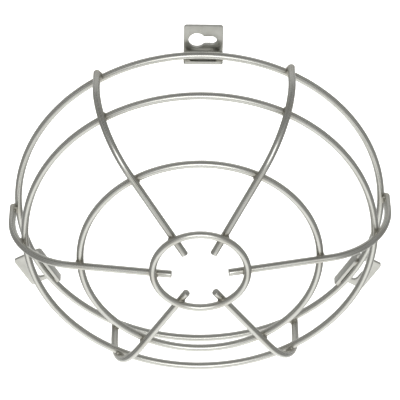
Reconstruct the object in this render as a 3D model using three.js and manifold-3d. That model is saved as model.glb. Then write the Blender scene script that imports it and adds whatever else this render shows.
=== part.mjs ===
// Round wire guard for a ceiling or wall mounted heat lamp: four wire rings welded to six bent ribs,
// carried by three keyhole brackets. Millimetres, +Z up. The guard hangs on a wall that is the plane
// y = 0, and its cage reaches out along -Y. The guard's own axis is the Y axis.
import * as THREE from 'three';
import { mergeVertices } from 'three/addons/utils/BufferGeometryUtils.js';
import Module from 'manifold-3d';

const wasm = await Module();
wasm.setup();

// Wire and sheet
const ringWire = 4;            // diameter of the wire of all four rings
const ribWire = 4;             // diameter of the wire of the six ribs
const sheet = 1.8;             // thickness of the bracket strip
const fitGap = 0.15;           // clearance left between pieces that are welded together
const setDown = 0.8;           // how far the welded wires are pressed into each other

// Rings, measured to the middle of the wire
const baseRadius = 100;
const shoulderRadius = 95;
const middleRadius = 64.5;
const hubRadius = 25.4;
const hubRise = 2.4;           // how far above the guard's axis the hub ring is welded on

// Ribs
const ribCount = 6;
const ribTurn = 3;             // degrees by which the ribs are turned from the brackets' pattern
const legTail = 2;             // the leg's cut end, behind the middle of the base ring
const legLength = 10.7;        // straight leg, from the middle of the base ring to the bend
const bendRadius = 40;
const crownSlope = 10.2;       // degrees by which the crown rises towards the middle
const tipRadius = 15.2;        // radius at which the free ends of the ribs stop

// Brackets
const bracketCount = 3;
const bracketWidth = 20.8;
const standoff = 7.6;          // wall to the middle of the base ring
const plateReach = 14.6;       // plate's outer edge beyond the middle of the base ring
const flangeReach = 2;         // flange's free edge beyond the middle of the base ring
const bendInside = 2.4;        // inner radius of the bracket's bend
const plateCorner = 1.6;
const flangeCorner = 1.2;

// Keyhole in each bracket
const headHole = 9;            // diameter that the screw's head passes through
const slotWidth = 5.2;         // width that the screw's shank slides along
const slotTravel = 8;          // head hole's middle to the slot's end middle
const holeShift = 3.4;         // head hole's middle, sideways from the bracket's middle
const holeReach = 5.5;         // keyhole's middle line beyond the middle of the base ring
const serrationCount = 4;      // small teeth along the slot's inner edge
const serrationDepth = 0.35;

// Weld flash
const weldSpread = 1.1;        // how far the flash spreads past the side of the thicker wire
const weldCover = 0.9;         // how far it climbs past each wire's crest
const weldGap = 0.2;           // clearance to the wires
const bracketWeldSpread = 0.1; // how far a bracket's weld reaches past the ring's wire
const bracketWeldRise = 1;     // half of its height across the joint
const bracketWeldLength = 2.8; // half of its length along the ring
const bracketWeldInset = 1.4;  // bracket welds, in from the bracket's side edges

// Facets
const wireSides = 10;
const ribSteps = 36;
const ringSteps = { base: 80, shoulder: 64, middle: 48, hub: 32 };
const weldSides = 10;

const ringR = ringWire / 2;
const ribR = ribWire / 2;
const touch = ringR + ribR - setDown;    // middle of a ring's wire to middle of a rib's wire
const legRadius = baseRadius + touch;
const weldReach = Math.max(ringR, ribR) + weldSpread;
const bendAngle = Math.PI / 2 - THREE.MathUtils.degToRad(crownSlope);
const bendCentre = legRadius - bendRadius;

// The guard's profile is worked out in (radius, depth), with depth 0 at the middle of the base ring
// and growing away from the wall.

// Depth of the rib's profile moved outwards by `shift`, at a radius.
function profileDepth(radius, shift) {
  const reach = bendRadius + shift;
  const bendEnd = bendCentre + reach * Math.cos(bendAngle);
  if (radius >= bendEnd) {
    return legLength + Math.sqrt(reach ** 2 - (radius - bendCentre) ** 2);
  }
  return legLength + reach * Math.sin(bendAngle) + (bendEnd - radius) / Math.tan(bendAngle);
}

const rings = {
  base: { radius: baseRadius, depth: 0, rise: 0 },
  shoulder: { radius: shoulderRadius, depth: profileDepth(shoulderRadius, -touch), rise: 0 },
  middle: { radius: middleRadius, depth: profileDepth(middleRadius, -touch), rise: 0 },
  hub: { radius: hubRadius, depth: profileDepth(hubRadius, touch), rise: hubRise },
};

// Azimuth of a rib in degrees, from +X to +Z.
function ribAzimuth(index) {
  return ribTurn + (360 * index) / ribCount;
}

// Model position of a point given by radius, depth and sideways distance, at azimuth 0.
function place(radius, depth, side = 0) {
  return new THREE.Vector3(radius, -(depth + standoff), side);
}

// The rib's middle line: a straight leg, a bend and a straight, slightly rising crown.
class RibLine extends THREE.Curve {
  constructor() {
    super();
    this.leg = legTail + legLength;
    this.bend = bendRadius * bendAngle;
    this.bendEnd = new THREE.Vector2(
      bendCentre + bendRadius * Math.cos(bendAngle),
      legLength + bendRadius * Math.sin(bendAngle),
    );
    this.crown = (this.bendEnd.x - tipRadius) / Math.sin(bendAngle);
    this.total = this.leg + this.bend + this.crown;
  }

  getPoint(t, target = new THREE.Vector3()) {
    let along = t * this.total;
    if (along <= this.leg) {
      return target.copy(place(legRadius, along - legTail));
    }
    along -= this.leg;
    if (along <= this.bend) {
      const angle = along / bendRadius;
      const radius = bendCentre + bendRadius * Math.cos(angle);
      return target.copy(place(radius, legLength + bendRadius * Math.sin(angle)));
    }
    along -= this.bend;
    const radius = this.bendEnd.x - along * Math.sin(bendAngle);
    return target.copy(place(radius, this.bendEnd.y + along * Math.cos(bendAngle)));
  }
}

function circleShape(radius, sides) {
  const points = [];
  for (let i = 0; i < sides; i += 1) {
    const angle = (2 * Math.PI * i) / sides;
    points.push(new THREE.Vector2(radius * Math.cos(angle), radius * Math.sin(angle)));
  }
  return new THREE.Shape(points);
}

function ringGeometry({ radius, depth, rise }, steps) {
  const profile = [];
  for (let i = 0; i <= wireSides; i += 1) {
    const angle = (2 * Math.PI * i) / wireSides;
    profile.push(new THREE.Vector2(
      radius + ringR * Math.cos(angle),
      ringR * Math.sin(angle) - depth - standoff,
    ));
  }
  return new THREE.LatheGeometry(profile, steps).translate(0, 0, rise);
}

function ribGeometry(wireRadius) {
  return new THREE.ExtrudeGeometry(circleShape(wireRadius, wireSides), {
    steps: ribSteps,
    extrudePath: new RibLine(),
  });
}

// Booleans

function toSolid(geometry) {
  const plain = geometry.clone();
  plain.deleteAttribute('normal');
  plain.deleteAttribute('uv');
  const merged = mergeVertices(plain, 1e-4);
  return new wasm.Manifold(new wasm.Mesh({
    numProp: 3,
    vertProperties: merged.attributes.position.array,
    triVerts: Uint32Array.from(merged.index.array),
  }));
}

function toGeometry(solid) {
  const mesh = solid.getMesh();
  const geometry = new THREE.BufferGeometry();
  geometry.setAttribute('position', new THREE.BufferAttribute(mesh.vertProperties, 3));
  geometry.setIndex(new THREE.BufferAttribute(mesh.triVerts, 1));
  geometry.computeVertexNormals();
  return geometry;
}

// A prism of a shape whose x and y run along the model directions `right` and `up`. Its length is
// centred on `origin`.
function prism(shape, length, origin, right, up, curveSegments = 8) {
  const geometry = new THREE.ExtrudeGeometry(shape, {
    depth: length,
    bevelEnabled: false,
    curveSegments,
  });
  geometry.translate(0, 0, -length / 2);
  const along = right.clone().cross(up);
  geometry.applyMatrix4(new THREE.Matrix4().makeBasis(right, up, along).setPosition(origin));
  return toSolid(geometry);
}

// A ring with a saddle pressed into it at every rib.
function ringSolid(ring, steps) {
  const saddle = toSolid(ribGeometry(ribR + fitGap));
  let solid = toSolid(ringGeometry(ring, steps));
  for (let i = 0; i < ribCount; i += 1) {
    solid = solid.subtract(saddle.rotate([0, -ribAzimuth(i), 0]));
  }
  return solid;
}

// Brackets. Sideways is +Z at azimuth 0, so the plate's outline is drawn in (sideways, radius).

const across = new THREE.Vector3(0, 0, 1);
const outward = new THREE.Vector3(1, 0, 0);
const fromWall = new THREE.Vector3(0, -1, 0);
const halfWidth = bracketWidth / 2;
const flangeFace = Math.sqrt((baseRadius - ringR) ** 2 - halfWidth ** 2) - fitGap;
const plateFace = sheet - standoff;      // depth of the plate's front face
const plateEdge = baseRadius + plateReach;

// Side view of the bent strip, in (radius, depth).
function bracketProfile() {
  const shape = new THREE.Shape();
  const bendOutside = bendInside + sheet;
  const middle = new THREE.Vector2(flangeFace + bendInside, plateFace + bendInside);
  shape.moveTo(plateEdge, plateFace);
  shape.lineTo(middle.x, plateFace);
  shape.absarc(middle.x, middle.y, bendInside, -Math.PI / 2, -Math.PI, true);
  shape.lineTo(flangeFace, flangeReach);
  shape.lineTo(flangeFace - sheet, flangeReach);
  shape.lineTo(flangeFace - sheet, middle.y);
  shape.absarc(middle.x, middle.y, bendOutside, Math.PI, 1.5 * Math.PI, false);
  shape.lineTo(plateEdge, plateFace - sheet);
  return shape;
}

// A rectangle whose two corners at the far end, `far`, are rounded.
function roundedEnd(near, far, corner) {
  const turn = far > near ? 1 : -1;
  const shape = new THREE.Shape();
  shape.moveTo(-halfWidth, near);
  shape.lineTo(-halfWidth, far - turn * corner);
  shape.absarc(-halfWidth + corner, far - turn * corner, corner, Math.PI, turn * Math.PI / 2, turn > 0);
  shape.lineTo(halfWidth - corner, far);
  shape.absarc(halfWidth - corner, far - turn * corner, corner, turn * Math.PI / 2, 0, turn > 0);
  shape.lineTo(halfWidth, near);
  return shape;
}

// The keyhole, in (sideways, radius): a round head hole and a slot whose inner edge is serrated.
function keyholeSolid() {
  const depth = 4 * sheet;
  const line = baseRadius + holeReach;
  const origin = place(0, plateFace - sheet / 2);
  const head = new THREE.Shape();
  head.absarc(holeShift, line, headHole / 2, 0, 2 * Math.PI);
  const half = slotWidth / 2;
  const end = holeShift - slotTravel;
  const slot = new THREE.Shape();
  slot.moveTo(holeShift, line + half);
  slot.lineTo(end, line + half);
  slot.absarc(end, line, half, Math.PI / 2, 1.5 * Math.PI, false);
  const pitch = (slotTravel - headHole / 2) / serrationCount;
  for (let i = 0; i < serrationCount; i += 1) {
    slot.lineTo(end + (i + 0.5) * pitch, line - half + serrationDepth);
    slot.lineTo(end + (i + 1) * pitch, line - half);
  }
  slot.lineTo(holeShift, line - half);
  return prism(head, depth, origin, across, outward, 28)
    .add(prism(slot, depth, origin, across, outward));
}

function bracketSolid() {
  const length = 4 * (plateReach + standoff);
  const plateOutline = roundedEnd(0, plateEdge, plateCorner);
  const flangeOutline = roundedEnd(-2 * standoff, flangeReach, flangeCorner);
  return prism(bracketProfile(), bracketWidth, place(0, 0), outward, fromWall)
    .intersect(prism(plateOutline, length, place(0, 0), across, outward))
    .intersect(prism(flangeOutline, length, place(baseRadius, 0), across, fromWall))
    .subtract(keyholeSolid());
}

// Weld flash. Each one is a flattened ball round the point where two pieces touch, cut back by both.

function ball(centre, normal, along, length, rise, width) {
  const geometry = new THREE.SphereGeometry(1, weldSides, 6);
  const basis = new THREE.Matrix4().makeBasis(along, normal, along.clone().cross(normal));
  basis.scale(new THREE.Vector3(length, rise, width));
  geometry.applyMatrix4(basis.setPosition(centre));
  return toSolid(geometry);
}

// A round rod whose flats, and not its corners, lie at the radius.
function rod(centre, direction, radius) {
  const corner = radius / Math.cos(Math.PI / weldSides);
  const geometry = new THREE.CylinderGeometry(corner, corner, 4 * weldReach, weldSides);
  const turn = new THREE.Quaternion().setFromUnitVectors(new THREE.Vector3(0, 1, 0), direction);
  geometry.applyQuaternion(turn);
  geometry.translate(centre.x, centre.y, centre.z);
  return toSolid(geometry);
}

// Unit direction from a ring's wire to the rib that crosses it, in the profile's plane.
function ribNormal({ radius, depth }) {
  if (depth <= legLength) {
    return new THREE.Vector3(1, 0, 0);
  }
  const angle = Math.min(Math.atan2(depth - legLength, radius - bendCentre), bendAngle);
  const slope = radius < bendCentre + bendRadius * Math.cos(bendAngle) ? bendAngle : angle;
  return new THREE.Vector3(Math.cos(slope), -Math.sin(slope), 0);
}

// Flash where a ring crosses the rib at an azimuth, built at azimuth 0. A ring with a rise crosses its
// ribs at uneven radii and not quite squarely.
function ribWeldSolid(ring, side, azimuth) {
  const sideways = ring.rise * Math.cos(azimuth);
  const reach = Math.sqrt(ring.radius ** 2 - sideways ** 2);
  const radius = reach + ring.rise * Math.sin(azimuth);
  const wireWay = new THREE.Vector3(sideways, 0, reach).divideScalar(ring.radius);
  const normal = ribNormal(ring).multiplyScalar(side);
  const along = new THREE.Vector3(-normal.y, normal.x, 0);
  const distance = touch - (radius - ring.radius) * normal.x;
  const ringMiddle = place(radius, ring.depth);
  const ribMiddle = ringMiddle.clone().addScaledVector(normal, distance);
  const overlap = ringR + ribR - distance;
  const contact = ringMiddle.clone().addScaledVector(normal, ringR - overlap / 2);
  return ball(contact, normal, along, weldReach, overlap / 2 + weldGap + weldCover, weldReach)
    .subtract(rod(ringMiddle, wireWay, ringR + weldGap))
    .subtract(rod(ribMiddle, along, ribR + weldGap));
}

function bracketWeldSolid(side) {
  const offset = side * (halfWidth - bracketWeldInset);
  const tilt = Math.asin(offset / baseRadius);
  const ringMiddle = place(baseRadius * Math.cos(tilt), 0, offset);
  const direction = new THREE.Vector3(-Math.sin(tilt), 0, Math.cos(tilt));
  const contact = place(flangeFace + fitGap / 2, 0, offset);
  const flange = new THREE.Shape();
  const face = flangeFace + weldGap;
  const half = halfWidth + weldGap;
  flange.moveTo(-half, face);
  flange.lineTo(half, face);
  flange.lineTo(half, face - 2 * sheet);
  flange.lineTo(-half, face - 2 * sheet);
  return ball(contact, outward, fromWall, ringR + bracketWeldSpread, bracketWeldRise, bracketWeldLength)
    .subtract(rod(ringMiddle, direction, ringR + weldGap))
    .subtract(prism(flange, 4 * standoff, place(0, 0), across, outward));
}

// Assembly

const finishes = {
  ring: { color: 0xb4b5b2, roughness: 0.28, metalness: 1 },
  rib: { color: 0xb0b0ac, roughness: 0.3, metalness: 1 },
  bracket: { color: 0xa9aaa6, roughness: 0.34, metalness: 1 },
  weld: { color: 0x8f8f8a, roughness: 0.5, metalness: 1 },
};

const guard = new THREE.Group();

// Adds a piece, turned about the guard's axis by an azimuth in degrees that runs from +X to +Z.
function addPiece(name, geometry, finish, azimuth = 0) {
  const mesh = new THREE.Mesh(geometry, new THREE.MeshStandardMaterial(finishes[finish]));
  mesh.name = name;
  mesh.rotation.y = -THREE.MathUtils.degToRad(azimuth);
  guard.add(mesh);
}

for (const [name, ring] of Object.entries(rings)) {
  addPiece(`${name}_ring`, toGeometry(ringSolid(ring, ringSteps[name])), 'ring');
}

const rib = ribGeometry(ribR);
for (let i = 0; i < ribCount; i += 1) {
  addPiece(`rib_${i + 1}`, rib, 'rib', ribAzimuth(i));
}

const bracket = toGeometry(bracketSolid());
const bracketWelds = { left: toGeometry(bracketWeldSolid(1)), right: toGeometry(bracketWeldSolid(-1)) };
for (let i = 0; i < bracketCount; i += 1) {
  const azimuth = 90 + (360 * i) / bracketCount;
  addPiece(`keyhole_bracket_${i + 1}`, bracket, 'bracket', azimuth);
  for (const [side, geometry] of Object.entries(bracketWelds)) {
    addPiece(`bracket_weld_${i + 1}_${side}`, geometry, 'weld', azimuth);
  }
}

for (const [name, ring] of Object.entries(rings)) {
  const side = name === 'hub' ? -1 : 1;
  for (let i = 0; i < ribCount; i += 1) {
    const solid = ribWeldSolid(ring, side, THREE.MathUtils.degToRad(ribAzimuth(i)));
    addPiece(`${name}_weld_${i + 1}`, toGeometry(solid), 'weld', ribAzimuth(i));
  }
}

export default guard;
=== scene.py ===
"""Round wire guard for a heat lamp, of bright drawn steel wire and three keyhole brackets.

The guard hangs on a wall that is the plane y = 0, with +Z up and its cage reaching out along -Y. Its own
axis is the Y axis. Sizes are in metres. An azimuth runs from +X to +Z round the guard's axis.
"""
import logging
import math
from collections.abc import Callable, Iterator, Sequence
from dataclasses import dataclass, field
from enum import Enum

import bmesh
import bpy
from mathutils import Matrix, Quaternion, Vector


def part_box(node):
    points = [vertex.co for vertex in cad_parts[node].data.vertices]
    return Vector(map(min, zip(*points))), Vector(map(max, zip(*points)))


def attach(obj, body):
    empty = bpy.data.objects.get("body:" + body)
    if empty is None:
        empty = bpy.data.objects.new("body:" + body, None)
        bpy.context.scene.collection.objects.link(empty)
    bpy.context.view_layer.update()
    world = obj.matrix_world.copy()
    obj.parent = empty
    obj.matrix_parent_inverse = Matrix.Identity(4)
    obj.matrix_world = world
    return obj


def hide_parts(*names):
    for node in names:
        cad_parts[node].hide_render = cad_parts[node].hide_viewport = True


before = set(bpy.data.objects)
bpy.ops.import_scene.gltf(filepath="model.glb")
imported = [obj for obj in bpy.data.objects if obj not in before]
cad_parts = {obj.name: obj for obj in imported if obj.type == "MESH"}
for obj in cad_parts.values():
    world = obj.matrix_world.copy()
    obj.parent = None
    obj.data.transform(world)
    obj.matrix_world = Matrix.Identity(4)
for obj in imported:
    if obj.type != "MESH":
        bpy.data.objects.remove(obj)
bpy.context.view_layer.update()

log = logging.getLogger("lamp_guard")

BODY = "root"
RUN_MAP = "wire_run"
HEAT_MARK = "weld_heat"
MERGE = 1e-6
MM = 1000.0

WIRE = 0.0040
SET_DOWN = 0.0008
SHEET = 0.0018
RIB_COUNT = 6
RIB_TURN = math.radians(3)
BRACKET_COUNT = 3
TOP_BRACKET = math.radians(90)


class Side(Enum):
    """The side of the ribs that a ring is welded to."""

    INSIDE = -1
    OUTSIDE = 1


class Slot(Enum):
    """The record's material slots."""

    RING = "ring_wire"
    RIB = "rib_wire"
    BRACKET = "bracket_sheet"
    FLASH = "weld_flash"


# Edit-mode work


def clear_selection() -> None:
    """Deselect every object and make none of them active."""
    bpy.ops.object.select_all(action="DESELECT")
    bpy.context.view_layer.objects.active = None


def take(piece: bpy.types.Object) -> None:
    """Make a piece the only selected one, and the active one.

    Args:
        piece: The object to work on.
    """
    clear_selection()
    piece.select_set(True)
    bpy.context.view_layer.objects.active = piece


def settle(name: str) -> bpy.types.Object:
    """Name the primitive that was just added and apply its place, so that its object sits at the origin.

    Args:
        name: The name of the object and its mesh.

    Returns:
        The settled object.
    """
    piece = bpy.context.active_object
    piece.name = name
    piece.data.name = name
    bpy.ops.object.transform_apply(location=True, rotation=True, scale=True)
    return piece


def select_points(piece: bpy.types.Object, chosen: Callable[[Vector], bool]) -> None:
    """Select, in edit mode, just the points that pass a test, with the edges and faces between them.

    Args:
        piece: The object in edit mode.
        chosen: Tells from a point's place whether it is wanted.
    """
    bpy.ops.mesh.select_mode(type="VERT")
    bpy.ops.mesh.select_all(action="DESELECT")
    shape = bmesh.from_edit_mesh(piece.data)
    for point in shape.verts:
        point.select_set(chosen(point.co))
    shape.select_flush_mode()
    bmesh.update_edit_mesh(piece.data)


def merge_and_face_out() -> None:
    """Merge the doubles of the mesh in edit mode and point all its faces outwards."""
    bpy.ops.mesh.select_all(action="SELECT")
    bpy.ops.mesh.remove_doubles(threshold=MERGE)
    bpy.ops.mesh.normals_make_consistent(inside=False)


def apply_modifier(piece: bpy.types.Object, kind: str, **settings: object) -> None:
    """Add a modifier and apply it at once.

    Args:
        piece: The object that gets the modifier.
        kind: Blender's name for the modifier's type.
        settings: The modifier's properties.
    """
    take(piece)
    modifier = piece.modifiers.new(kind.lower(), kind)
    for key, value in settings.items():
        setattr(modifier, key, value)
    bpy.ops.object.modifier_apply(modifier=modifier.name)


def copy_turned(master: bpy.types.Object, name: str, azimuth: float) -> bpy.types.Object:
    """Copy a piece with its own mesh, and turn the copy about the guard's axis.

    Args:
        master: The piece as it stands at azimuth 0.
        name: The copy's name.
        azimuth: The copy's azimuth in radians.

    Returns:
        The copy, with its turn applied to its mesh.
    """
    twin = master.copy()
    twin.data = master.data.copy()
    bpy.context.collection.objects.link(twin)
    twin.name = name
    twin.data.name = name
    twin.rotation_euler = (0, -azimuth, 0)
    take(twin)
    bpy.ops.object.transform_apply(location=False, rotation=True, scale=False)
    return twin


def write_run(
    mesh: bpy.types.Mesh, measure: Callable[[Vector], tuple[float, float]], wrap: Vector
) -> None:
    """Write a UV map in millimetres, so that drawing lines follow the wire round its bends.

    Args:
        mesh: The mesh that gets the map.
        measure: Gives the distances of a point along and round the wire.
        wrap: The full lengths along and round, in metres; 0 where that way doesn't close on itself.
    """
    layer = mesh.uv_layers.new(name=RUN_MAP)
    marks = [measure(point.co) for point in mesh.vertices]
    for face in mesh.polygons:
        first = marks[face.vertices[0]]
        for corner in face.loop_indices:
            mark = list(marks[mesh.loops[corner].vertex_index])
            for way in (0, 1):
                if wrap[way]:
                    mark[way] += wrap[way] * round((first[way] - mark[way]) / wrap[way])
            layer.data[corner].uv = (mark[0] * MM, mark[1] * MM)


def write_heat(piece: bpy.types.Object, crossings: Sequence[Vector], spread: float) -> None:
    """Write how much each point of a piece was heated by the welds near it, from 0 to 1.

    Args:
        piece: The finished piece.
        crossings: The places of the welds.
        spread: The distance over which the heat mark fades away.
    """
    mark = piece.data.attributes.new(HEAT_MARK, "FLOAT", "POINT")
    for index, point in enumerate(piece.data.vertices):
        nearest = min((point.co - crossing).length for crossing in crossings)
        mark.data[index].value = max(0.0, 1.0 - nearest / spread) ** 2


# Finishes


def linear(code: str) -> tuple[float, float, float, float]:
    """Turn an sRGB hex colour to linear.

    Args:
        code: The colour, such as "#c8c7be".

    Returns:
        Its red, green, blue and alpha.
    """
    parts = [int(code[i : i + 2], 16) / 255 for i in (1, 3, 5)]
    red, green, blue = (c / 12.92 if c <= 0.04045 else ((c + 0.055) / 1.055) ** 2.4 for c in parts)
    return (red, green, blue, 1.0)


def add_node(
    tree: bpy.types.NodeTree,
    kind: str,
    settings: dict[str, object] | None = None,
    inputs: dict[str | int, object] | None = None,
) -> bpy.types.Node:
    """Add a node with its settings, and with each input either set or linked.

    Args:
        tree: The node tree.
        kind: Blender's name for the node's type.
        settings: The node's properties.
        inputs: For each input, its value, or the output socket that feeds it.

    Returns:
        The new node.
    """
    node = tree.nodes.new(kind)
    for key, value in (settings or {}).items():
        setattr(node, key, value)
    for key, value in (inputs or {}).items():
        if isinstance(value, bpy.types.NodeSocket):
            tree.links.new(value, node.inputs[key])
        else:
            node.inputs[key].default_value = value
    return node


def start_material(name: str) -> tuple[bpy.types.Material, bpy.types.NodeTree]:
    """Start a node material.

    Args:
        name: The material's name.

    Returns:
        The material and its emptied tree.
    """
    material = bpy.data.materials.new(name)
    material.use_nodes = True
    material.node_tree.nodes.clear()
    return material, material.node_tree


def close_material(tree: bpy.types.NodeTree, inputs: dict[str, object]) -> None:
    """Add the shader that ends a material, and its output.

    Args:
        tree: The material's node tree.
        inputs: The shader's values, and the outputs that feed it.
    """
    shader = add_node(tree, "ShaderNodeBsdfPrincipled", inputs=inputs)
    add_node(tree, "ShaderNodeOutputMaterial", inputs={"Surface": shader.outputs["BSDF"]})


@dataclass(frozen=True)
class SteelFinish:
    """What the guard's bare steel finishes share.

    Two tones blend in patches, and a fine relief makes the skin a little uneven and rougher in places.
    """

    name: str
    bright: str
    dull: str
    smooth: float
    rough: float
    wear_span: tuple[float, float]
    relief_height: float
    relief_strength: float

    def patterns(self, tree: bpy.types.NodeTree) -> tuple[bpy.types.NodeSocket, bpy.types.NodeSocket]:
        """Add the finish's patterns.

        Args:
            tree: The material's node tree.

        Returns:
            The relief, and the share of the dull tone.
        """
        raise NotImplementedError

    def marks(
        self, tree: bpy.types.NodeTree, colour: bpy.types.NodeSocket, relief: bpy.types.NodeSocket
    ) -> tuple[bpy.types.NodeSocket, bpy.types.NodeSocket]:
        """Add the marks that making the guard left on the steel; there are none unless a finish adds them.

        Args:
            tree: The material's node tree.
            colour: The colour of the unmarked steel.
            relief: The relief.

        Returns:
            The colour with its marks, and the wear that sets the roughness.
        """
        return colour, relief

    def make(self) -> bpy.types.Material:
        """Build the material.

        Returns:
            The finished material.
        """
        material, tree = start_material(self.name)
        relief, share = self.patterns(tree)
        tones = add_node(
            tree,
            "ShaderNodeMix",
            {"data_type": "RGBA"},
            {"Factor": share, "A": linear(self.bright), "B": linear(self.dull)},
        )
        colour, wear = self.marks(tree, tones.outputs["Result"], relief)
        roughness = add_node(
            tree,
            "ShaderNodeMapRange",
            inputs={
                "Value": wear,
                "From Min": self.wear_span[0],
                "From Max": self.wear_span[1],
                "To Min": self.smooth,
                "To Max": self.rough,
            },
        )
        bump = add_node(
            tree,
            "ShaderNodeBump",
            inputs={"Height": relief, "Distance": self.relief_height, "Strength": self.relief_strength},
        )
        skin = {
            "Base Color": colour,
            "Metallic": 1.0,
            "Roughness": roughness.outputs["Result"],
            "Normal": bump.outputs["Normal"],
        }
        close_material(tree, skin)
        return material


@dataclass(frozen=True)
class LinedFinish(SteelFinish):
    """A steel finish whose relief is fine lines along the wire or strip, with patterns in millimetres."""

    line_length: float
    line_width: float
    line_detail: float
    patch: float
    patch_detail: float

    def patterns(self, tree: bpy.types.NodeTree) -> tuple[bpy.types.NodeSocket, bpy.types.NodeSocket]:
        """Add the lines and patches on the piece's own map, so that they follow its bends.

        Args:
            tree: The material's node tree.

        Returns:
            The lines, and the share of the dull tone.
        """
        run = add_node(tree, "ShaderNodeUVMap", {"uv_map": RUN_MAP})
        stretched = add_node(
            tree,
            "ShaderNodeMapping",
            inputs={"Vector": run.outputs["UV"], "Scale": (1 / self.line_length, 1 / self.line_width, 1)},
        )
        lines = add_node(
            tree,
            "ShaderNodeTexNoise",
            inputs={"Vector": stretched.outputs["Vector"], "Scale": 1.0, "Detail": self.line_detail},
        )
        patches = add_node(
            tree,
            "ShaderNodeTexNoise",
            inputs={"Vector": run.outputs["UV"], "Scale": 1 / self.patch, "Detail": self.patch_detail},
        )
        return lines.outputs["Fac"], patches.outputs["Fac"]


@dataclass(frozen=True)
class DrawnWireFinish(LinedFinish):
    """Mild steel wire, drawn bright through a die, then barrel polished after welding.

    It gives the eye a clean satin shine with a soft edge: a bright line along the wire between two darker
    ones, faint scratches that run lengthwise, and a slightly dull, warmer patch at each weld.
    """

    bright: str = "#d3d3ce"
    dull: str = "#c0c0ba"
    smooth: float = 0.22
    rough: float = 0.34
    wear_span: tuple[float, float] = (0.25, 0.85)
    relief_height: float = 0.00003
    relief_strength: float = 0.5
    # Die lines are finer than this on real wire. They are drawn at 0.35 mm to show close up.
    line_length: float = 50.0
    line_width: float = 0.35
    line_detail: float = 3.0
    patch: float = 14.0
    patch_detail: float = 2.0
    heated: str = "#b3afa4"

    def marks(
        self, tree: bpy.types.NodeTree, colour: bpy.types.NodeSocket, relief: bpy.types.NodeSocket
    ) -> tuple[bpy.types.NodeSocket, bpy.types.NodeSocket]:
        """Warm and dull the wire where the welds heated it.

        Args:
            tree: The material's node tree.
            colour: The colour of the unheated wire.
            relief: The die lines.

        Returns:
            The colour with its heat marks, and the wear that sets the roughness.
        """
        heat = add_node(tree, "ShaderNodeAttribute", {"attribute_name": HEAT_MARK})
        warmed = add_node(
            tree,
            "ShaderNodeMix",
            {"data_type": "RGBA"},
            {"Factor": heat.outputs["Fac"], "A": colour, "B": linear(self.heated)},
        )
        wear = add_node(
            tree, "ShaderNodeMath", {"operation": "MAXIMUM"}, {0: relief, 1: heat.outputs["Fac"]}
        )
        return warmed.outputs["Result"], wear.outputs["Value"]


@dataclass(frozen=True)
class RolledStripFinish(LinedFinish):
    """Cold rolled mild steel strip, stamped and bent, then barrel polished.

    It gives the eye a flatter, slightly greyer shine than the wire, with faint lines along the strip.
    """

    bright: str = "#cbcbc6"
    dull: str = "#b4b4ae"
    smooth: float = 0.26
    rough: float = 0.40
    wear_span: tuple[float, float] = (0.3, 0.7)
    relief_height: float = 0.00003
    relief_strength: float = 0.4
    # Rolling lines are finer than this on real strip. They are drawn at 0.5 mm to show close up.
    line_length: float = 20.0
    line_width: float = 0.5
    line_detail: float = 4.0
    patch: float = 6.0
    patch_detail: float = 3.0


@dataclass(frozen=True)
class WeldFlashFinish(SteelFinish):
    """Steel squeezed out of a resistance weld, then barrel polished. Its grain is in millimetres.

    It gives the eye a duller, slightly darker and warmer collar with a fine uneven skin.
    """

    bright: str = "#bdbbb2"
    dull: str = "#9c998f"
    smooth: float = 0.34
    rough: float = 0.50
    wear_span: tuple[float, float] = (0.3, 0.7)
    relief_height: float = 0.00006
    relief_strength: float = 0.6
    grain: float = 0.9
    grain_detail: float = 4.0
    grain_roughness: float = 0.6

    def patterns(self, tree: bpy.types.NodeTree) -> tuple[bpy.types.NodeSocket, bpy.types.NodeSocket]:
        """Add the grains on Object coordinates, which suit a lump with no run of its own.

        Args:
            tree: The material's node tree.

        Returns:
            The grains, twice: they are the relief and the share of the dull tone.
        """
        place = add_node(tree, "ShaderNodeTexCoord")
        grains = add_node(
            tree,
            "ShaderNodeTexNoise",
            inputs={
                "Vector": place.outputs["Object"],
                "Scale": MM / self.grain,
                "Detail": self.grain_detail,
                "Roughness": self.grain_roughness,
            },
        )
        return grains.outputs["Fac"], grains.outputs["Fac"]


def hand_over(
    piece: bpy.types.Object, node: str, slot: Slot, material: bpy.types.Material
) -> None:
    """Dress a finished piece and let it stand for its CAD node.

    Args:
        piece: The finished piece.
        node: The CAD node that it replaces.
        slot: The record's material slot. It is not used.
        material: Its finish.
    """
    piece.data.materials.clear()
    piece.data.materials.append(material)
    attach(piece, BODY)
    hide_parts(node)
    log.info("%s: %d faces, stands for %s", piece.name, len(piece.data.polygons), node)


# Rings


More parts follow.
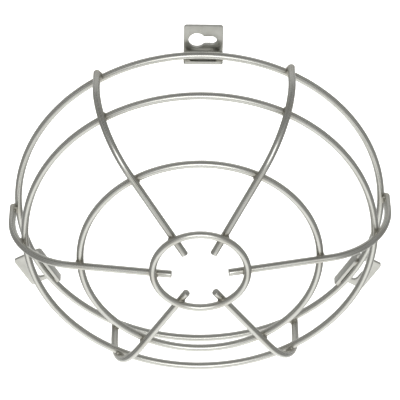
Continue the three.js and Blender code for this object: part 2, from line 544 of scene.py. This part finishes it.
@dataclass
class WireRing:
    """One of the guard's butt-welded wire rings."""

    name: str
    steps: int
    side: Side
    wire: float = WIRE
    sides: int = 32
    radius: float = field(init=False)
    depth: float = field(init=False)
    rise: float = field(init=False)

    def __post_init__(self) -> None:
        """Take the ring's radius, depth and rise, to the middle of its wire, from its CAD node."""
        low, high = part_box(self.name)
        self.radius = (high.x - low.x - self.wire) / 2
        self.depth = (high.y + low.y) / 2
        self.rise = (high.z + low.z) / 2

    def measure(self, point: Vector) -> tuple[float, float]:
        """Give a point's distances along the ring and round its wire.

        Args:
            point: A point on the ring's surface.

        Returns:
            The two distances in metres.
        """
        up = point.z - self.rise
        turn = math.atan2(point.y - self.depth, math.hypot(point.x, up) - self.radius)
        return self.radius * math.atan2(up, point.x), self.wire / 2 * turn

    def radius_at(self, azimuth: float) -> float:
        """Give the distance from the guard's axis at which the ring crosses an azimuth.

        Args:
            azimuth: The azimuth in radians.

        Returns:
            The distance, which varies round a ring that sits above the axis.
        """
        sideways = self.rise * math.cos(azimuth)
        return math.sqrt(self.radius**2 - sideways**2) + self.rise * math.sin(azimuth)

    def build(self) -> bpy.types.Object:
        """Spin the wire's section once round the ring's middle.

        Returns:
            The finished ring.
        """
        clear_selection()
        bpy.ops.mesh.primitive_circle_add(
            vertices=self.sides,
            radius=self.wire / 2,
            fill_type="NOTHING",
            location=(self.radius, self.depth, self.rise),
        )
        piece = settle(f"{self.name}_wire")
        bpy.ops.object.mode_set(mode="EDIT")
        bpy.ops.mesh.select_all(action="SELECT")
        middle = (0, 0, self.rise)
        bpy.ops.mesh.spin(steps=self.steps, angle=2 * math.pi, center=middle, axis=(0, 1, 0))
        merge_and_face_out()
        bpy.ops.object.mode_set(mode="OBJECT")
        bpy.ops.object.shade_smooth()
        round_ring = Vector((2 * math.pi * self.radius, math.pi * self.wire))
        write_run(piece.data, self.measure, round_ring)
        return piece


# Ribs


@dataclass
class BentRibs:
    """The six ribs: a straight leg, a bend and a slightly rising crown, cut square at both ends."""

    base: WireRing
    wire: float = WIRE
    tail: float = 0.0020
    leg: float = 0.0107
    bend_radius: float = 0.0400
    slope: float = math.radians(10.2)
    tip_radius: float = 0.0152
    end_bevel: float = 0.00035
    end_segments: int = 3
    crease: float = math.radians(50)
    sides: int = 28
    leg_steps: int = 5
    bend_steps: int = 36
    crown_steps: int = 16

    @property
    def touch(self) -> float:
        """The distance between the middles of two wires welded across each other."""
        return self.wire - SET_DOWN

    @property
    def leg_radius(self) -> float:
        """The leg's distance from the guard's axis."""
        return self.base.radius + self.touch

    @property
    def bend_angle(self) -> float:
        """The angle that the rib is bent through."""
        return math.pi / 2 - self.slope

    @property
    def bend_centre(self) -> Vector:
        """The middle of the bend, at azimuth 0."""
        return Vector((self.leg_radius - self.bend_radius, self.base.depth - self.leg, 0))

    @property
    def crown_way(self) -> Vector:
        """The direction in which the crown runs inwards, at azimuth 0."""
        return Vector((-math.cos(self.slope), -math.sin(self.slope), 0))

    @property
    def crown_start(self) -> Vector:
        """Where the bend ends and the crown starts, at azimuth 0."""
        return self.bend_centre + self.bend_radius * self.outward(self.bend_angle)

    def outward(self, angle: float) -> Vector:
        """Give the rib's unit outward direction at azimuth 0, where it is bent through an angle."""
        return Vector((math.cos(angle), -math.sin(angle), 0))

    def measure(self, point: Vector) -> tuple[float, float]:
        """Give a point's distances along the rib and round its wire.

        Args:
            point: A point on the rib's surface, at azimuth 0.

        Returns:
            The two distances in metres.
        """
        from_centre = Vector((point.x, point.y, 0)) - self.bend_centre
        angle = math.atan2(-from_centre.y, from_centre.x)
        straight = self.tail + self.leg
        if angle <= 0:
            along, out = straight - from_centre.y, from_centre.x - self.bend_radius
        elif angle <= self.bend_angle:
            along, out = straight + self.bend_radius * angle, from_centre.length - self.bend_radius
        else:
            rest = Vector((point.x, point.y, 0)) - self.crown_start
            along = straight + self.bend_radius * self.bend_angle + rest.dot(self.crown_way)
            out = rest.dot(self.outward(self.bend_angle))
        return along, self.wire / 2 * math.atan2(point.z, out)

    def crossing(self, ring: WireRing, azimuth: float) -> tuple[Vector, float]:
        """Find where a ring touches the rib at an azimuth.

        Args:
            ring: The ring.
            azimuth: The rib's azimuth.

        Returns:
            The middle of the joint, turned back to azimuth 0, and the angle that the rib is bent through.
        """
        middle = Vector((ring.radius_at(azimuth), ring.depth, 0))
        from_centre = middle - self.bend_centre
        angle = max(0.0, min(math.atan2(-from_centre.y, from_centre.x), self.bend_angle))
        if ring.side is Side.OUTSIDE:
            angle = self.bend_angle
        return middle - self.outward(angle) * (ring.side.value * self.touch / 2), angle

    def bevel_end(self) -> None:
        """Take the sharp edge off the selected cut end."""
        bpy.ops.mesh.bevel(offset=self.end_bevel, segments=self.end_segments, affect="EDGES")

    def build(self) -> bpy.types.Object:
        """Draw the rib along its middle line, in the way that it is bent, and bevel its cut ends.

        Returns:
            The finished rib at azimuth 0.
        """
        start = self.base.depth + self.tail
        crown = (self.crown_start.x - self.tip_radius) / math.cos(self.slope)
        clear_selection()
        bpy.ops.mesh.primitive_circle_add(
            vertices=self.sides,
            radius=self.wire / 2,
            fill_type="NOTHING",
            location=(self.leg_radius, start, 0),
            rotation=(math.pi / 2, 0, 0),
        )
        piece = settle("rib_master")
        bpy.ops.object.mode_set(mode="EDIT")
        bpy.ops.mesh.select_all(action="SELECT")
        for _ in range(self.leg_steps):
            step = (0, -(self.tail + self.leg) / self.leg_steps, 0)
            bpy.ops.mesh.extrude_edges_move(TRANSFORM_OT_translate={"value": step})
        bpy.ops.mesh.spin(
            steps=self.bend_steps, angle=self.bend_angle, center=self.bend_centre, axis=(0, 0, 1)
        )
        for _ in range(self.crown_steps):
            step = self.crown_way * (crown / self.crown_steps)
            bpy.ops.mesh.extrude_edges_move(TRANSFORM_OT_translate={"value": step})
        bpy.ops.mesh.select_all(action="SELECT")
        bpy.ops.mesh.remove_doubles(threshold=MERGE)
        bpy.ops.mesh.fill_holes(sides=0)
        select_points(piece, lambda at: abs(at.y - start) < MERGE)
        self.bevel_end()
        tip = self.crown_start + self.crown_way * crown
        select_points(piece, lambda at: abs((at - tip).dot(self.crown_way)) < MERGE)
        self.bevel_end()
        merge_and_face_out()
        bpy.ops.object.mode_set(mode="OBJECT")
        bpy.ops.object.shade_smooth_by_angle(angle=self.crease)
        write_run(piece.data, self.measure, Vector((0, math.pi * self.wire)))
        return piece


# Brackets


@dataclass
class KeyholeBrackets:
    """The three bent strips that hold the guard to the wall, each with a keyhole."""

    base: WireRing
    sheet: float = SHEET
    width: float = 0.0208
    plate_reach: float = 0.0146
    flange_reach: float = 0.0020
    bend_inside: float = 0.0024
    bend_steps: int = 12
    gap: float = 0.00015
    plate_corner: float = 0.0016
    flange_corner: float = 0.0012
    corner_segments: int = 6
    edge_bevel: float = 0.00028
    edge_segments: int = 3
    edge_angle: float = math.radians(50)
    crease: float = math.radians(35)
    head_hole: float = 0.0090
    slot_width: float = 0.0052
    slot_travel: float = 0.0080
    hole_shift: float = 0.0034
    hole_reach: float = 0.0055
    hole_sides: int = 64
    serrations: int = 4
    serration_depth: float = 0.00035

    @property
    def flange_face(self) -> float:
        """The radius of the flange's outer face, which meets the ring at the strip's two side edges."""
        ring_inside = self.base.radius - self.base.wire / 2
        return math.sqrt(ring_inside**2 - (self.width / 2) ** 2) - self.gap

    @property
    def hole_line(self) -> float:
        """The radius of the keyhole's middle line."""
        return self.base.radius + self.hole_reach

    @property
    def punch_depth(self) -> float:
        """The length of the punches, which pass well through the strip on both sides."""
        return 4 * self.sheet

    def measure(self, point: Vector) -> tuple[float, float]:
        """Give the distances along the strip and across it of a point on the bracket, at azimuth 0."""
        return point.x + point.y, point.z

    def strip(self) -> bpy.types.Object:
        """Bend the strip: spin its bend, draw out its flange, round its corners and thicken it.

        Returns:
            The strip at azimuth 0, without its keyhole.
        """
        inner = self.flange_face + self.bend_inside
        outer = self.base.radius + self.plate_reach
        clear_selection()
        bpy.ops.mesh.primitive_plane_add(
            size=1, location=((inner + outer) / 2, -self.sheet / 2, 0), rotation=(math.pi / 2, 0, 0)
        )
        bpy.context.active_object.scale = (outer - inner, self.width, 1)
        piece = settle("bracket_master")
        bpy.ops.object.mode_set(mode="EDIT")
        select_points(piece, lambda at: at.x < inner + MERGE)
        centre = (inner, -self.sheet - self.bend_inside, 0)
        bpy.ops.mesh.spin(steps=self.bend_steps, angle=math.pi / 2, center=centre, axis=(0, 0, -1))
        free_edge = self.base.depth - self.flange_reach
        bpy.ops.mesh.extrude_edges_move(TRANSFORM_OT_translate={"value": (0, free_edge - centre[1], 0)})
        for corner, test in (
            (self.plate_corner, lambda at: at.x > outer - MERGE),
            (self.flange_corner, lambda at: at.y < free_edge + MERGE),
        ):
            select_points(piece, test)
            bpy.ops.mesh.bevel(offset=corner, segments=self.corner_segments, affect="VERTICES")
        merge_and_face_out()
        bpy.ops.object.mode_set(mode="OBJECT")
        apply_modifier(piece, "SOLIDIFY", thickness=self.sheet, offset=0.0, use_even_offset=True)
        log.info("bracket strip %.1f mm wide", self.width * MM)
        return piece

    def punch(self, strip: bpy.types.Object, cutter: bpy.types.Object) -> None:
        """Cut a closed shape out of the strip and remove the cutter.

        Args:
            strip: The strip.
            cutter: The shape to cut away.
        """
        apply_modifier(strip, "BOOLEAN", object=cutter, operation="DIFFERENCE", solver="EXACT")
        bpy.data.objects.remove(cutter)

    def round_punch(self, side: float, diameter: float) -> bpy.types.Object:
        """Make the punch for a round hole.

        Args:
            side: The hole's place across the strip.
            diameter: The hole's diameter.

        Returns:
            The punch.
        """
        clear_selection()
        bpy.ops.mesh.primitive_cylinder_add(
            vertices=self.hole_sides,
            radius=diameter / 2,
            depth=self.punch_depth,
            location=(self.hole_line, 0, side),
            rotation=(math.pi / 2, 0, 0),
        )
        return settle("round_punch")

    def slot_punch(self) -> bpy.types.Object:
        """Make the punch for the slot, whose inner edge is serrated to grip the screw.

        Returns:
            The punch.
        """
        end = self.hole_shift - self.slot_travel
        inner = self.hole_line - self.slot_width / 2
        clear_selection()
        bpy.ops.mesh.primitive_plane_add(
            size=1,
            location=(self.hole_line, -self.punch_depth / 2, (end + self.hole_shift) / 2),
            rotation=(math.pi / 2, 0, 0),
        )
        bpy.context.active_object.scale = (self.slot_width, self.slot_travel, 1)
        cutter = settle("slot_punch")
        pitch = (self.slot_travel - self.head_hole / 2) / self.serrations
        cuts = round(self.slot_travel / (pitch / 2)) - 1
        spacing = self.slot_travel / (cuts + 1)
        teeth = [end + (2 * i + 1) * spacing for i in range(self.serrations)]
        bpy.ops.object.mode_set(mode="EDIT")
        select_points(cutter, lambda at: at.x < inner + MERGE)
        bpy.ops.mesh.subdivide(number_cuts=cuts)
        select_points(
            cutter,
            lambda at: at.x < inner + MERGE and any(abs(at.z - tooth) < spacing / 4 for tooth in teeth),
        )
        bpy.ops.transform.translate(value=(self.serration_depth, 0, 0))
        bpy.ops.mesh.select_all(action="SELECT")
        bpy.ops.mesh.extrude_region_move(TRANSFORM_OT_translate={"value": (0, self.punch_depth, 0)})
        merge_and_face_out()
        bpy.ops.object.mode_set(mode="OBJECT")
        return cutter

    def build(self) -> bpy.types.Object:
        """Punch the keyhole in the bent strip and break its edges.

        Returns:
            The finished bracket at azimuth 0.
        """
        piece = self.strip()
        self.punch(piece, self.round_punch(self.hole_shift, self.head_hole))
        self.punch(piece, self.round_punch(self.hole_shift - self.slot_travel, self.slot_width))
        self.punch(piece, self.slot_punch())
        take(piece)
        bpy.ops.object.mode_set(mode="EDIT")
        merge_and_face_out()
        bpy.ops.object.mode_set(mode="OBJECT")
        apply_modifier(
            piece,
            "BEVEL",
            width=self.edge_bevel,
            segments=self.edge_segments,
            limit_method="ANGLE",
            angle_limit=self.edge_angle,
            use_clamp_overlap=True,
        )
        take(piece)
        bpy.ops.object.shade_smooth_by_angle(angle=self.crease)
        write_run(piece.data, self.measure, Vector((0, 0)))
        return piece


# Weld flash


@dataclass
class WeldFlash:
    """The small collars of steel that the welding press squeezes out round each joint.

    A lump's half sizes run across the joint, along the rib and along the ring.
    """

    crossing_size: tuple[float, float, float] = (0.0013, 0.00215, 0.00215)
    bracket_size: tuple[float, float, float] = (0.0007, 0.0017, 0.0018)
    bracket_inset: float = 0.0018
    rounding: float = 0.4
    rounding_segments: int = 3
    cuts: int = 2
    swell: float = 0.3
    rough: float = 0.00020
    smoothing: float = 0.5
    smoothing_rounds: int = 4
    crossing_seed: int = 1
    bracket_seed: int = 40

    def lump(
        self, size: tuple[float, float, float], middle: Vector, turn: float, seed: int
    ) -> bpy.types.Object:
        """Press an uneven lump of flash.

        Args:
            size: Its half sizes.
            middle: Its middle, at azimuth 0.
            turn: The angle that the rib is bent through there.
            seed: The seed of its uneven skin.

        Returns:
            The lump at azimuth 0.
        """
        clear_selection()
        bpy.ops.mesh.primitive_cube_add(size=2)
        bpy.context.active_object.scale = size
        bpy.context.active_object.rotation_euler = (0, 0, -turn)
        bpy.context.active_object.location = middle
        piece = settle("flash_master")
        bpy.ops.object.mode_set(mode="EDIT")
        bpy.ops.mesh.select_all(action="SELECT")
        edge = self.rounding * min(size)
        bpy.ops.mesh.bevel(offset=edge, segments=self.rounding_segments, affect="EDGES")
        bpy.ops.mesh.select_all(action="SELECT")
        bpy.ops.mesh.subdivide(number_cuts=self.cuts, smoothness=self.swell)
        bpy.ops.transform.vertex_random(offset=self.rough, uniform=1.0, normal=0.0, seed=seed)
        bpy.ops.mesh.vertices_smooth(factor=self.smoothing, repeat=self.smoothing_rounds)
        merge_and_face_out()
        bpy.ops.object.mode_set(mode="OBJECT")
        bpy.ops.object.shade_smooth()
        return piece


# The whole guard


@dataclass
class LampGuard:
    """The guard: four rings welded to six ribs, carried by three brackets."""

    rings: list[WireRing] = field(
        default_factory=lambda: [
            WireRing("base_ring", steps=288, side=Side.INSIDE),
            WireRing("shoulder_ring", steps=288, side=Side.INSIDE),
            WireRing("middle_ring", steps=224, side=Side.INSIDE),
            WireRing("hub_ring", steps=128, side=Side.OUTSIDE),
        ]
    )
    ribs: BentRibs = field(init=False)
    brackets: KeyholeBrackets = field(init=False)
    flash: WeldFlash = field(default_factory=WeldFlash)
    heat_spread: float = 0.009
    ring_finish: SteelFinish = DrawnWireFinish("drawn steel ring wire, satin")
    rib_finish: SteelFinish = DrawnWireFinish(
        "drawn steel rib wire, satin", bright="#cfcfca", dull="#bbbbb5"
    )
    strip_finish: SteelFinish = RolledStripFinish("rolled steel strip, satin")
    flash_finish: SteelFinish = WeldFlashFinish("steel weld flash, polished")

    def __post_init__(self) -> None:
        """Set up the ribs and brackets from the base ring."""
        self.ribs = BentRibs(self.rings[0])
        self.brackets = KeyholeBrackets(self.rings[0])

    def rib_azimuths(self) -> Iterator[float]:
        """Give the azimuth of each rib."""
        for index in range(RIB_COUNT):
            yield RIB_TURN + 2 * math.pi * index / RIB_COUNT

    def rib_joints(self, azimuth: float) -> list[Vector]:
        """Give the places of a rib's four welds.

        Args:
            azimuth: The rib's azimuth.

        Returns:
            The middle of each joint.
        """
        turn = Matrix.Rotation(-azimuth, 4, "Y")
        return [turn @ self.ribs.crossing(ring, azimuth)[0] for ring in self.rings]

    def build_rings(self) -> None:
        """Build the four rings, with a heat mark at each rib."""
        material = self.ring_finish.make()
        for index, ring in enumerate(self.rings):
            piece = ring.build()
            joints = [self.rib_joints(azimuth)[index] for azimuth in self.rib_azimuths()]
            write_heat(piece, joints, self.heat_spread)
            hand_over(piece, ring.name, Slot.RING, material)

    def build_ribs(self) -> None:
        """Build one rib and copy it round, with a heat mark at each ring."""
        material = self.rib_finish.make()
        master = self.ribs.build()
        for index, azimuth in enumerate(self.rib_azimuths()):
            piece = copy_turned(master, f"rib_{index + 1}_wire", azimuth)
            write_heat(piece, self.rib_joints(azimuth), self.heat_spread)
            hand_over(piece, f"rib_{index + 1}", Slot.RIB, material)
        bpy.data.objects.remove(master)

    def build_brackets(self, flash_material: bpy.types.Material) -> None:
        """Build one bracket and copy it round, with its two welds.

        Args:
            flash_material: The finish of the weld flash.
        """
        material = self.strip_finish.make()
        master = self.brackets.build()
        inset = self.brackets.width / 2 - self.flash.bracket_inset
        for index in range(BRACKET_COUNT):
            azimuth = TOP_BRACKET + 2 * math.pi * index / BRACKET_COUNT
            piece = copy_turned(master, f"keyhole_bracket_{index + 1}_strip", azimuth)
            hand_over(piece, f"keyhole_bracket_{index + 1}", Slot.BRACKET, material)
            for side, word in ((1, "left"), (-1, "right")):
                middle = Vector((self.brackets.flange_face, self.rings[0].depth, side * inset))
                seed = self.flash.bracket_seed + 2 * index + side
                lump = self.flash.lump(self.flash.bracket_size, middle, 0.0, seed)
                self.place_flash(lump, f"bracket_weld_{index + 1}_{word}", azimuth, flash_material)
        bpy.data.objects.remove(master)

    def build_crossing_welds(self, flash_material: bpy.types.Material) -> None:
        """Build the flash where each ring crosses each rib.

        Args:
            flash_material: The finish of the weld flash.
        """
        for level, ring in enumerate(self.rings):
            for index, azimuth in enumerate(self.rib_azimuths()):
                middle, turn = self.ribs.crossing(ring, azimuth)
                seed = self.flash.crossing_seed + RIB_COUNT * level + index
                lump = self.flash.lump(self.flash.crossing_size, middle, turn, seed)
                node = ring.name.replace("ring", f"weld_{index + 1}")
                self.place_flash(lump, node, azimuth, flash_material)

    def place_flash(
        self, lump: bpy.types.Object, node: str, azimuth: float, material: bpy.types.Material
    ) -> None:
        """Turn a lump of flash to its azimuth and let it stand for its CAD node.

        Args:
            lump: The lump at azimuth 0.
            node: The CAD node that it replaces.
            azimuth: Its azimuth.
            material: Its finish.
        """
        piece = copy_turned(lump, f"{node}_flash", azimuth)
        bpy.data.objects.remove(lump)
        hand_over(piece, node, Slot.FLASH, material)

    def build(self) -> None:
        """Build the whole guard."""
        self.build_rings()
        self.build_ribs()
        flash_material = self.flash_finish.make()
        self.build_brackets(flash_material)
        self.build_crossing_welds(flash_material)


# The studio


def way_out(azimuth: float, elevation: float) -> Vector:
    """Give the unit direction from the guard to a place in front of it.

    Args:
        azimuth: Its angle from the front towards +X, in radians.
        elevation: Its angle above the horizon, in radians.

    Returns:
        The direction.
    """
    level = math.cos(elevation)
    return Vector((math.sin(azimuth) * level, -math.cos(azimuth) * level, math.sin(elevation)))


@dataclass(frozen=True)
class Studio:
    """A white floor that curves up into a backdrop, under a dim tent with one bright strip.

    Polished wire shows its surroundings and little else. The tent's dim roof and sides give each wire its
    dark edges, and the strip, which runs from the front to under the guard, gives it a pale line. The
    floor is kept out of the wires' reflections, so that it doesn't wash them out.

    The tent is a sky whose light depends only on the direction in the room. A pair of numbers that
    shapes it gives the two ends of a soft blend, as parts of a unit direction, sideways or upwards.
    """

    floor_level: float = -0.6
    floor_radius: float = 14.0
    floor_sides: int = 96
    cove: float = 5.0
    cove_segments: int = 16
    rim: float = 10.0
    floor_colour: str = "#f8f8f7"
    floor_glow: float = 0.8
    # The grain of the paper is in millimetres, and coarser than on real paper so that it shows.
    paper_grain: float = 2.5
    paper_detail: float = 2.0
    paper_roughness: tuple[float, float] = (0.85, 0.95)
    sky_colour: str = "#fbfbf9"
    roof: float = 0.33
    roof_edges: tuple[float, float] = (0.45, 0.95)
    front: float = 0.72
    sides: float = 0.38
    side_edges: tuple[float, float] = (0.3, 0.8)
    strip: float = 1.4
    strip_edges: tuple[float, float] = (0.30, 0.60)
    strip_top: tuple[float, float] = (-0.60, -0.20)
    box_elevation: float = math.radians(20)
    box_distance: float = 2.6
    box_size: float = 1.4
    box_power: float = 14.0

    def paper(self) -> bpy.types.Material:
        """Make the floor's matt white paper, which glows a little so that it stays white.

        Returns:
            The finished material.
        """
        material, tree = start_material("white studio paper, matt")
        place = add_node(tree, "ShaderNodeTexCoord")
        fibres = add_node(
            tree,
            "ShaderNodeTexNoise",
            inputs={
                "Vector": place.outputs["Object"],
                "Scale": MM / self.paper_grain,
                "Detail": self.paper_detail,
            },
        )
        roughness = add_node(
            tree,
            "ShaderNodeMapRange",
            inputs={
                "Value": fibres.outputs["Fac"],
                "To Min": self.paper_roughness[0],
                "To Max": self.paper_roughness[1],
            },
        )
        skin = {
            "Base Color": linear(self.floor_colour),
            "Roughness": roughness.outputs["Result"],
            "Emission Color": linear(self.floor_colour),
            "Emission Strength": self.floor_glow,
        }
        close_material(tree, skin)
        return material

    def build_floor(self) -> None:
        """Lay the round floor, raise its rim and round the cove between them."""
        clear_selection()
        bpy.ops.mesh.primitive_circle_add(
            vertices=self.floor_sides,
            radius=self.floor_radius,
            fill_type="NGON",
            location=(0, 0, self.floor_level),
        )
        floor = settle("studio_floor")
        bpy.ops.object.mode_set(mode="EDIT")
        bpy.ops.mesh.select_all(action="DESELECT")
        bpy.ops.mesh.select_mode(type="EDGE")
        bpy.ops.mesh.select_non_manifold()
        bpy.ops.mesh.extrude_edges_move(TRANSFORM_OT_translate={"value": (0, 0, self.rim)})
        select_points(floor, lambda at: at.z < self.floor_level + MERGE)
        bpy.ops.mesh.bevel(offset=self.cove, segments=self.cove_segments, affect="EDGES")
        bpy.ops.object.mode_set(mode="OBJECT")
        bpy.ops.object.shade_smooth()
        floor.data.materials.append(self.paper())
        floor.visible_glossy = False

    def build_tent(self) -> None:
        """Make the tent as the scene's sky: walls, a roof over them, and the strip over both."""
        world = bpy.data.worlds.new("studio_tent")
        bpy.context.scene.world = world
        world.use_nodes = True
        tree = world.node_tree
        tree.nodes.clear()
        way = add_node(tree, "ShaderNodeTexCoord")
        parts = add_node(tree, "ShaderNodeSeparateXYZ", inputs={"Vector": way.outputs["Generated"]})
        sideways = add_node(
            tree, "ShaderNodeMath", {"operation": "ABSOLUTE"}, {0: parts.outputs["X"]}
        )
        aside, up = sideways.outputs["Value"], parts.outputs["Z"]
        blends = {}
        for name, source, span, ends in (
            ("walls", aside, self.side_edges, (self.front, self.sides)),
            ("roof", up, self.roof_edges, (0.0, 1.0)),
            ("strip_width", aside, self.strip_edges, (1.0, 0.0)),
            ("strip_height", up, self.strip_top, (1.0, 0.0)),
        ):
            blend = add_node(
                tree,
                "ShaderNodeMapRange",
                {"interpolation_type": "SMOOTHSTEP"},
                {
                    "Value": source,
                    "From Min": span[0],
                    "From Max": span[1],
                    "To Min": ends[0],
                    "To Max": ends[1],
                },
            )
            blends[name] = blend.outputs["Result"]
        room = add_node(
            tree,
            "ShaderNodeMix",
            {"data_type": "FLOAT"},
            {"Factor": blends["roof"], "A": blends["walls"], "B": self.roof},
        )
        strip = add_node(
            tree,
            "ShaderNodeMath",
            {"operation": "MULTIPLY"},
            {0: blends["strip_width"], 1: blends["strip_height"]},
        )
        level = add_node(
            tree,
            "ShaderNodeMix",
            {"data_type": "FLOAT"},
            {"Factor": strip.outputs["Value"], "A": room.outputs["Result"], "B": self.strip},
        )
        sky = add_node(
            tree,
            "ShaderNodeBackground",
            inputs={"Color": linear(self.sky_colour), "Strength": level.outputs["Result"]},
        )
        add_node(tree, "ShaderNodeOutputWorld", inputs={"Surface": sky.outputs["Background"]})

    def build_softbox(self) -> None:
        """Hang a square soft light in front of the guard, facing it."""
        light = bpy.data.lights.new("front_softbox", "AREA")
        light.shape = "SQUARE"
        light.size = self.box_size
        light.energy = self.box_power
        lamp = bpy.data.objects.new("front_softbox", light)
        back = way_out(0.0, self.box_elevation)
        lamp.location = back * self.box_distance
        lamp.rotation_mode = "QUATERNION"
        lamp.rotation_quaternion = (-back).to_track_quat("-Z", "Y")
        bpy.context.collection.objects.link(lamp)

    def build(self) -> None:
        """Build the floor, the tent and the soft light."""
        self.build_floor()
        self.build_tent()
        self.build_softbox()
        bpy.context.scene.view_settings.view_transform = "Standard"


@dataclass(frozen=True)
class Viewpoint:
    """The camera: far away, in front of the guard and above it, with a long lens."""

    target: tuple[float, float, float] = (0.0002, -0.0066, 0.0013)
    distance: float = 1.3953
    azimuth: float = math.radians(-1.15)
    elevation: float = math.radians(38.72)
    roll: float = math.radians(1.42)
    lens: float = 227.2
    sensor_width: float = 36.0
    clip_start: float = 0.1
    clip_end: float = 100.0

    def build(self) -> None:
        """Place the camera and make it the scene's."""
        view = bpy.data.cameras.new("viewpoint")
        view.lens = self.lens
        view.sensor_width = self.sensor_width
        view.clip_start = self.clip_start
        view.clip_end = self.clip_end
        camera = bpy.data.objects.new("viewpoint", view)
        back = way_out(self.azimuth, self.elevation)
        camera.location = Vector(self.target) + back * self.distance
        camera.rotation_mode = "QUATERNION"
        level = (-back).to_track_quat("-Z", "Y")
        camera.rotation_quaternion = level @ Quaternion((0, 0, 1), self.roll)
        bpy.context.collection.objects.link(camera)
        bpy.context.scene.camera = camera


def main() -> None:
    """Build the guard, the studio and the camera in order."""
    logging.basicConfig(level=logging.INFO, format="%(name)s: %(message)s")
    LampGuard().build()
    Studio().build()
    Viewpoint().build()


if __name__ == "__main__":
    main()
